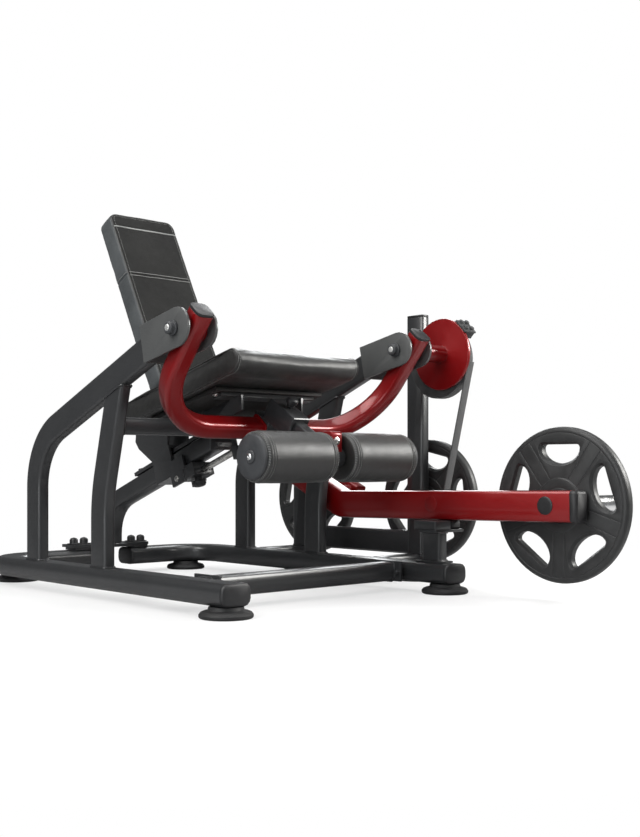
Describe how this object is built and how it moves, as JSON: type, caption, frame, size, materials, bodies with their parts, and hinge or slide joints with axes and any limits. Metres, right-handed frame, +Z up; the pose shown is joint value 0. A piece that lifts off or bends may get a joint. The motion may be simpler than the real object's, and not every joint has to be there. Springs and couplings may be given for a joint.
{
  "type": "leg extension machine",
  "caption": "Plate-loaded seated leg extension: swinging roller yoke drives a cam and belt that lift a side weight lever; sliding back rest.",
  "frame": {"origin": "on the floor under the middle of the bounding box", "axes": "+Z up; -Y is the way the seated user faces; -X is the user's right hand; +X is the side that carries the weights; the knee axis runs along X at y -0.205, z 0.741"},
  "size_m": [1.327, 1.85, 1.2269],
  "materials": {
    "frame": "charcoal powder coat, semi-gloss",
    "red": "deep red gloss with clear coat",
    "upholstery": "black grained leatherette",
    "rubber": "matt black rubber",
    "weight": "black rubber-coated iron",
    "plastic": "black moulded plastic",
    "chrome": "polished chrome",
    "steel": "zinc-plated steel",
    "iron": "dark cast metal",
    "belt": "woven flat belt, dark grey",
    "wood": "plywood, black backed",
    "bronze": "plain bronze bush"
  },
  "bodies": {
    "frame": {"right_side_frame": "frame", "left_side_frame": "frame", "front_cross_tube": "frame", "seat_cross_beam": "frame", "centre_spine": "frame", "spine_bolts_right": "steel", "spine_bolts_left": "steel", "outer_lever_frame": "frame", "outer_post_cap": "plastic", "lever_axle": "steel", "storage_horn_front": "chrome", "storage_horn_rear": "chrome", "foot_front_right": "rubber", "foot_front_left": "rubber", "foot_rear_right": "rubber", "foot_rear_left": "rubber", "foot_outer_front": "rubber", "foot_outer_rear": "rubber", "front_end_cap_right": "plastic", "front_end_cap_left": "plastic", "rear_end_cap_left": "plastic", "lever_stop_post": "frame", "stop_bumper": "rubber", "right_pivot_bracket": "frame", "left_pivot_bracket": "frame", "seat_frame": "frame", "seat_board": "wood", "seat_pad": "upholstery", "strut_cylinder": "steel", "belt_strap": "belt"},
    "yoke": {"yoke_arm_right": "red", "yoke_arm_left": "red", "yoke_end_cap_right": "plastic", "yoke_end_cap_left": "plastic", "knee_sleeve_right": "bronze", "knee_sleeve_left": "bronze", "knee_shaft_right": "steel", "knee_shaft_left": "steel", "cam_disc": "red", "cam_drum": "iron", "belt_wrap": "belt", "belt_clamp": "iron", "adjuster_housing": "frame"},
    "roller_carrier": {"roller_arm": "red"},
    "roller_pin": {"roller_pop_pin": "plastic"},
    "right_roller": {"roller_pad_right": "upholstery", "roller_cap_right": "plastic"},
    "left_roller": {"roller_pad_left": "upholstery", "roller_cap_left": "plastic"},
    "weight_arm": {"weight_lever": "red", "lever_end_cap": "plastic", "lever_horn": "chrome"},
    "working_plate": {"lever_weight_plate": "weight"},
    "front_stored_plate": {"stored_plate_front": "weight"},
    "rear_stored_plate": {"stored_plate_rear": "weight"},
    "back_rest": {"back_carriage": "frame", "back_board": "wood", "back_pad": "upholstery", "strut_rod": "chrome"},
    "back_lock": {"position_knob": "plastic"}
  },
  "joints": [
    {"name": "yoke_swing", "type": "hinge", "parent": "frame", "child": "yoke", "pos_m": [-0.1765, -0.205, 0.741], "axis": [-1, 0, 0], "range_deg": [0, 90]},
    {"name": "lever_swing", "type": "hinge", "parent": "frame", "child": "weight_arm", "pos_m": [0.3635, 0.505, 0.423], "axis": [-1, 0, 0], "range_deg": [0, 15], "deforming": ["belt_strap"]},
    {"name": "roller_reach", "type": "slide", "parent": "yoke", "child": "roller_carrier", "axis": [0, -0.8601, -0.5101], "range_m": [-0.005, 0.05]},
    {"name": "roller_pin_pull", "type": "slide", "parent": "yoke", "child": "roller_pin", "axis": [0, -0.5101, 0.8601], "range_m": [0, 0.01]},
    {"name": "right_roller_spin", "type": "hinge", "parent": "roller_carrier", "child": "right_roller", "pos_m": [-0.1765, -0.309, 0.407], "axis": [1, 0, 0], "continuous": true},
    {"name": "left_roller_spin", "type": "hinge", "parent": "roller_carrier", "child": "left_roller", "pos_m": [-0.1765, -0.309, 0.407], "axis": [1, 0, 0], "continuous": true},
    {"name": "back_rest_slide", "type": "slide", "parent": "frame", "child": "back_rest", "axis": [0, 0.9426, -0.3338], "range_m": [0, 0.1]},
    {"name": "back_lock_pull", "type": "slide", "parent": "back_rest", "child": "back_lock", "axis": [0, -0.3338, -0.9426], "range_m": [0, 0.01]},
    {"name": "working_plate_slide", "type": "slide", "parent": "weight_arm", "child": "working_plate", "axis": [1, 0, 0], "range_m": [0, 0.2]},
    {"name": "front_stored_plate_slide", "type": "slide", "parent": "frame", "child": "front_stored_plate", "axis": [1, 0, 0], "range_m": [0, 0.06]},
    {"name": "rear_stored_plate_slide", "type": "slide", "parent": "frame", "child": "rear_stored_plate", "axis": [1, 0, 0], "range_m": [0, 0.05]}
  ],
  "couplings": [
    {"joint": "lever_swing", "follows": "yoke_swing", "ratio": 0.16}
  ]
}
